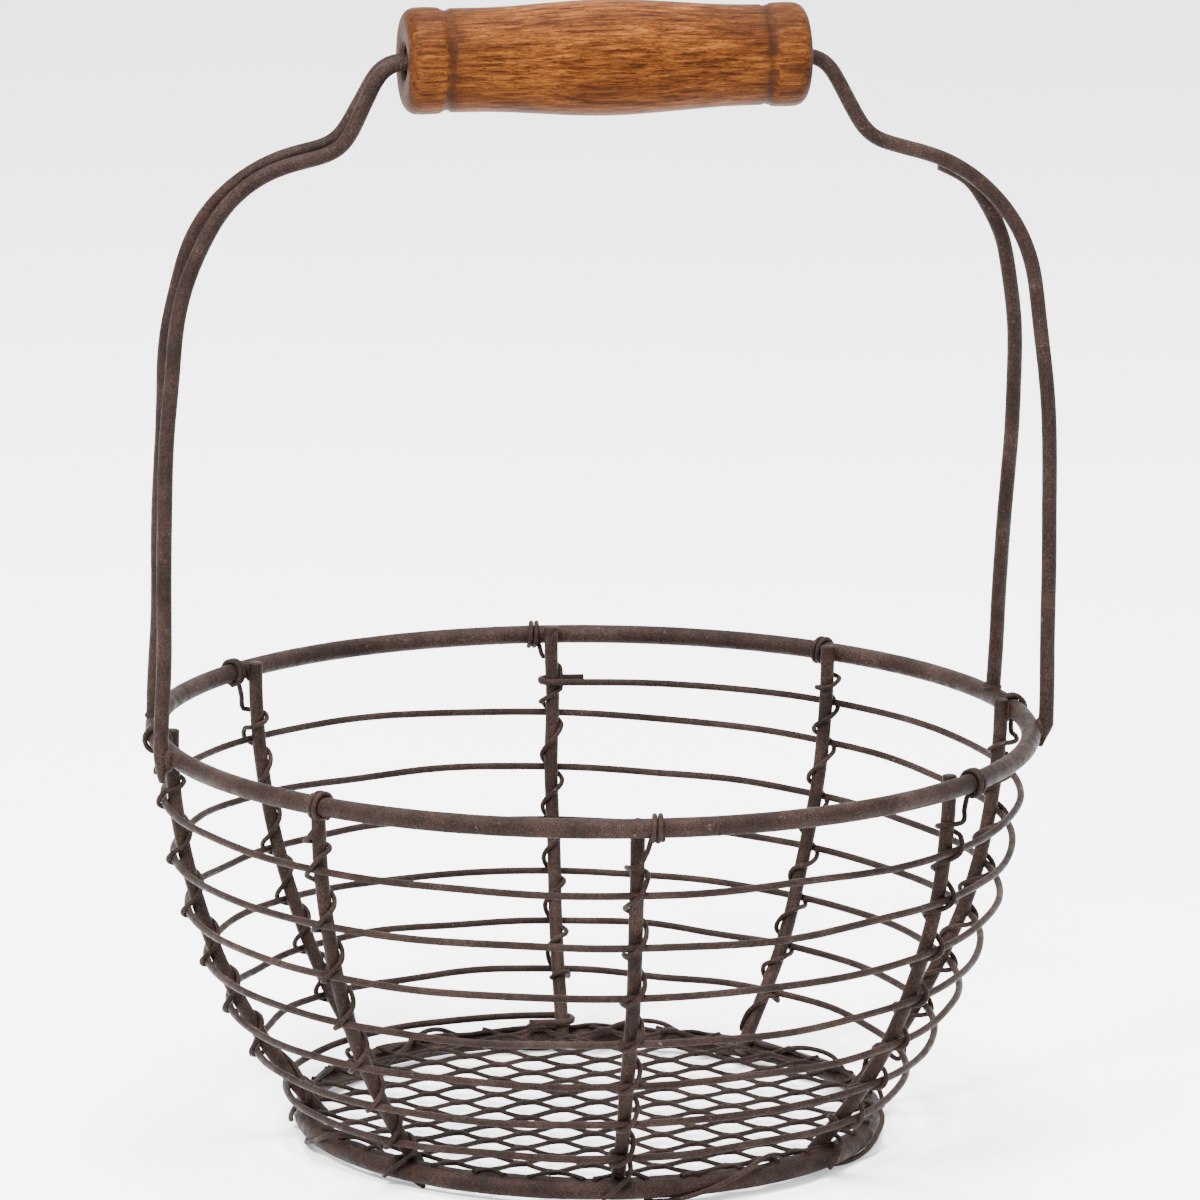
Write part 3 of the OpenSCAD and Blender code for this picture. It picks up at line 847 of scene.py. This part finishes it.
brace.append(blob((82.0, 0.4, GRIP_Z - 25.2), shoulder_axes, (3.6, 1.5, 1.1), 350))
shoulder_axes = ((0.75, 0, -0.66), (0, 1, 0), (0.66, 0, 0.75))
brace.append(blob((89.5, 0.2, GRIP_Z - 31.0), shoulder_axes, (3.2, 1.3, 1.0), 351))
piece("bail_bent", *joined(bail), "frame_wire", ["bail_wire"])
piece("doubler_bent", *joined(doubler), "frame_wire", ["bail_doubler"])
piece("brace_bent", *joined(brace), "frame_wire", ["handle_brace"])

# ---- the grip, turned round X: (distance from its middle, radius, painted shade) ----
# Half of its length, half of the length between its grooves, and the radius of its bore
HALF, BARREL_HALF, BORE = 46, 35.1, 3.95
# The barrel's radius at its ends, and how much it swells in the middle
BARREL_R, SWELL = 11.7, 1.38
SWELL_REACH = 0.85
# The outside is slightly oval, and what lies within this radius is round
OVAL, ROUND_R = 0.0035, 9
CORNER_R = 3
outline = []
for x in np.linspace(-1, 1, 61):
    w = (1 + math.cos(math.pi * min(1, abs(x) / SWELL_REACH))) / 2
    r = BARREL_R + SWELL * w - 0.3 * smooth((x - 0.5) * 2)
    # Painted shade on the barrel: least in the middle, more towards the grooves
    outline.append((x * BARREL_HALF, r, 0.12 + 0.1 * (1 - w) + 0.45 * abs(x) ** 12))


def bead(sign, r, neck):
    """Groove, shoulder and rounded end bead of one side, from the groove outwards, with the painted
    shade at each point.
    """
    line = [(35.6, neck + 0.2, 0.85), (36.0, neck, 0.95), (36.5, neck - 0.05, 0.95)]
    line += [(37.0, neck + 0.1, 0.9), (37.5, r - 0.45, 0.7), (38.0, r - 0.12, 0.5)]
    line += [(39.0, r, 0.46), (41.5, r + 0.06, 0.50)]
    for a in np.radians(range(0, 91, 10)):
        x, y = HALF - CORNER_R + CORNER_R * math.sin(a), r - CORNER_R + CORNER_R * math.cos(a)
        line.append((x, y, 0.45 + 0.35 * math.sin(a)))
    line += [(HALF - 0.05, 7.0, 0.8), (HALF - 0.3, BORE + 0.8, 0.9), (HALF - 1.0, BORE, 1.0)]
    return [(sign * x, y, s) for x, y, s in line]


outline = bead(-1, 12.0, 11.25)[::-1] + outline + bead(1, 11.75, 11.15)
# The bore gets the darkest painted shade
outline.append((0, BORE, 1.0))
sides = 96
verts, faces, painted_shade = [], [], []
for x, r, s in outline:
    for j in range(sides):
        a = 2 * math.pi * j / sides
        q = r * (1 + OVAL * math.sin(2 * a + 0.6) * (r > ROUND_R)) if x else r
        verts.append((GRIP_X + x, q * math.cos(a), GRIP_Z + q * math.sin(a)))
        painted_shade.append(s)
n = len(outline)
for i in range(n):
    for j in range(sides):
        k, m = (i + 1) % n, (j + 1) % sides
        faces.append((i * sides + j, i * sides + m, k * sides + m, k * sides + j))
grip = piece("grip_turned", verts, faces, "turned_wood", ["grip"], body="grip", sharp=35)
# The painted shade goes to the wood's shader as a vertex attribute
layer = grip.data.attributes.new("painted_shade", "FLOAT", "POINT")
layer.data.foreach_set("value", np.array(painted_shade, np.float32))

# ---- floor, light and camera ----
bpy.ops.mesh.primitive_plane_add(size=6, location=(0, 0, 0))
ground = bpy.context.object
ground.name = "ground"
m, t, b = shader("pale_floor", 0.9, specular=0.1)
t.links.new(ramp(t, noise(t, 3, 2), [(0.3, grey(0.92)), (0.7, grey(0.95))]), b.inputs["Base Color"])
ground.data.materials.append(m)

world = bpy.context.scene.world or bpy.data.worlds.new("studio")
bpy.context.scene.world = world
world.use_nodes = True
world.node_tree.nodes["Background"].inputs["Color"].default_value = (0.97, 0.98, 1.0, 1)
world.node_tree.nodes["Background"].inputs["Strength"].default_value = 2.8


def softbox(name, at, aim, size, power, colour=(1, 1, 1)):
    data = bpy.data.lights.new(name, "AREA")
    data.shape = "RECTANGLE"
    data.size, data.size_y = size
    data.energy = power
    data.color = colour
    o = bpy.data.objects.new(name, data)
    o.location = at
    o.rotation_euler = (Vector(aim) - Vector(at)).to_track_quat("-Z", "Y").to_euler()
    bpy.context.scene.collection.objects.link(o)


softbox("key", (-0.75, -0.85, 1.15), (0, 0, 0.12), (0.4, 0.4), 78, (1, 0.98, 0.96))
softbox("fill", (1.1, -0.9, 0.7), (0, 0, 0.12), (0.9, 0.9), 14, (0.97, 0.98, 1))
softbox("top", (0.05, 0.05, 1.5), (0, 0, 0.1), (0.6, 0.6), 76)

# The camera: from the front left at 11 degrees, 12.7 degrees above, 1.8 m from a point in the bowl
LENS, DIST = 236.28, 1.8
AZ, EL, ROLL = math.radians(11), math.radians(12.675), math.radians(0.5)
AIM = Vector((0, 0, 0.100))
# It looks past that point by these slopes, to its right and up, to have the handle in the picture
PAST_RIGHT, PAST_UP = 0.00083799, 0.01308532
right_v = Vector((math.cos(AZ), -math.sin(AZ), 0))
back_v = Vector((math.sin(AZ), math.cos(AZ), 0))
look = math.cos(EL) * back_v - Vector((0, 0, math.sin(EL)))
up_v = math.sin(EL) * back_v + Vector((0, 0, math.cos(EL)))
place = AIM - DIST * look
look = (look + right_v * PAST_RIGHT + up_v * PAST_UP).normalized()
data = bpy.data.cameras.new("camera")
data.sensor_width = 36
data.lens = LENS
data.clip_start = 0.05
camera = bpy.data.objects.new("camera", data)
x_axis = look.cross(Vector((0, 0, 1))).normalized()
y_axis = x_axis.cross(look)
turn = Matrix((x_axis, y_axis, -look)).transposed().to_4x4()
camera.matrix_world = Matrix.Translation(place) @ turn @ Matrix.Rotation(ROLL, 4, "Z")
bpy.context.scene.collection.objects.link(camera)
bpy.context.scene.camera = camera

bpy.context.view_layer.update()
